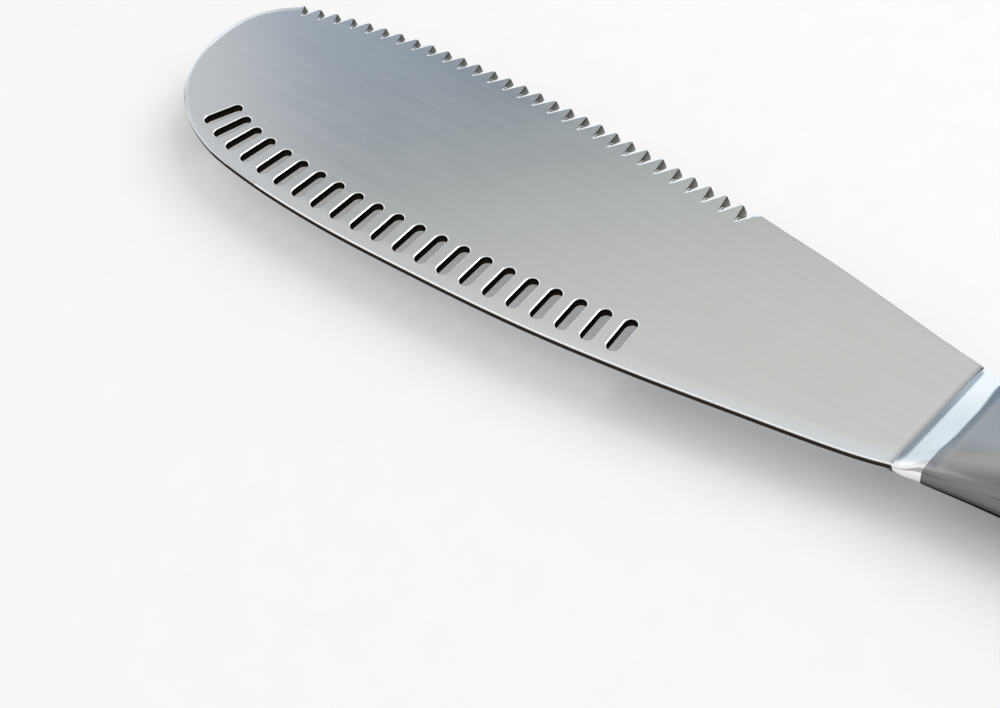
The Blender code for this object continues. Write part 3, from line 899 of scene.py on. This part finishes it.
world_data = bpy.data.worlds.new("studio")
bpy.context.scene.world = world_data
world_data.use_nodes = True
wt = world_data.node_tree
wt.nodes.clear()


def wnode(kind, **values):
    n = wt.nodes.new(kind)
    for k, v in values.items():
        setattr(n, k, v)
    return n


coord = wnode("ShaderNodeTexCoord")
split = wnode("ShaderNodeSeparateXYZ")
wt.links.new(coord.outputs["Generated"], split.inputs[0])


def ramp(stops):
    """Colour by elevation; stops are (degrees above the horizon, colour)."""
    r = wnode("ShaderNodeValToRGB")
    r.color_ramp.interpolation = "EASE"
    while len(r.color_ramp.elements) < len(stops):
        r.color_ramp.elements.new(0.5)
    for e, (deg, colour) in zip(r.color_ramp.elements, stops):
        e.position = max(0.0, math.sin(math.radians(deg)))
        e.color = (*colour, 1.0)
    wt.links.new(split.outputs["Z"], r.inputs["Fac"])
    return r.outputs["Color"]


def toward(azimuth, start, stop):
    """1 where the direction's compass lies near the azimuth, easing to 0."""
    a = math.radians(azimuth)
    flat = wnode("ShaderNodeVectorMath", operation="MULTIPLY")
    flat.inputs[1].default_value = (1, 1, 0)
    wt.links.new(coord.outputs["Generated"], flat.inputs[0])
    unit = wnode("ShaderNodeVectorMath", operation="NORMALIZE")
    wt.links.new(flat.outputs[0], unit.inputs[0])
    dot = wnode("ShaderNodeVectorMath", operation="DOT_PRODUCT")
    dot.inputs[1].default_value = (math.cos(a), math.sin(a), 0)
    wt.links.new(unit.outputs[0], dot.inputs[0])
    m = wnode("ShaderNodeMapRange", interpolation_type="SMOOTHSTEP")
    m.inputs["From Min"].default_value = math.cos(math.radians(stop))
    m.inputs["From Max"].default_value = math.cos(math.radians(start))
    wt.links.new(dot.outputs["Value"], m.inputs["Value"])
    return m.outputs["Result"]


def blend(factor, a, b):
    m = wnode("ShaderNodeMix", data_type="RGBA")
    wt.links.new(factor, m.inputs["Factor"])
    wt.links.new(a, m.inputs[6])
    wt.links.new(b, m.inputs[7])
    return m.outputs[2]


general = ramp([(0, (0.82, 0.83, 0.84)), (30, (0.82, 0.83, 0.84)), (60, (0.84, 0.84, 0.84)), (90, (0.88, 0.88, 0.88))])
side = ramp([(0, (1.02, 1.05, 1.08)), (30, (1.02, 1.05, 1.08)), (38, (0.84, 0.86, 0.88)), (48, (0.84, 0.85, 0.86)),
             (53, (1.00, 0.98, 0.94)), (60, (1.00, 0.98, 0.94)), (68, (0.9, 0.9, 0.9)), (90, (0.90, 0.90, 0.90))])
behind = ramp([(0, (1.02, 1.06, 1.09)), (21, (1.02, 1.06, 1.09)), (26, (0.50, 0.58, 0.67)), (33, (0.44, 0.54, 0.66)),
               (36, (0.52, 0.68, 0.88)), (37.4, (0.41, 0.50, 0.62)),
               (38.8, (0.17, 0.21, 0.25)), (40.3, (0.33, 0.38, 0.43)), (41.4, (0.64, 0.68, 0.63)), (42.6, (0.77, 0.79, 0.73)),
               (44, (0.86, 0.865, 0.80)), (46, (0.90, 0.89, 0.85)), (49, (0.93, 0.915, 0.85)),
               (54, (1.02, 1.07, 1.10)), (62, (0.95, 0.96, 0.97)), (90, (0.90, 0.90, 0.90))])
shade = ramp([(0, (1.02, 1.06, 1.09)), (17.8, (1.02, 1.06, 1.09)), (21, (0.46, 0.51, 0.57)), (34.2, (0.42, 0.48, 0.56)),
              (36.4, (0.50, 0.65, 0.83)), (37.5, (0.41, 0.50, 0.62)),
              (38.8, (0.17, 0.21, 0.25)), (40.3, (0.33, 0.38, 0.43)), (41.4, (0.64, 0.68, 0.63)), (42.6, (0.77, 0.79, 0.73)),
              (44, (0.86, 0.865, 0.80)), (46, (0.90, 0.89, 0.85)), (49, (0.93, 0.915, 0.85)),
              (54, (1.02, 1.07, 1.10)), (62, (0.95, 0.96, 0.97)), (90, (0.90, 0.90, 0.90))])
front = ramp([(0, (0.42, 0.42, 0.43)), (50, (0.42, 0.42, 0.43)), (70, (0.80, 0.80, 0.80)), (90, (0.90, 0.90, 0.90))])
colour = blend(toward(268, 42, 62), general, front)
colour = blend(toward(181, 26, 40), colour, side)
colour = blend(toward(131, 12.5, 16.5), colour, behind)
colour = blend(toward(138, 6, 9), colour, shade)
bg = wnode("ShaderNodeBackground")
bg.inputs["Strength"].default_value = 1.0
wt.links.new(colour, bg.inputs["Color"])
out = wnode("ShaderNodeOutputWorld")
wt.links.new(bg.outputs[0], out.inputs["Surface"])

view = bpy.context.scene.view_settings
view.view_transform = "Standard"
view.look = "None"
view.exposure = 0.0
view.gamma = 1.0
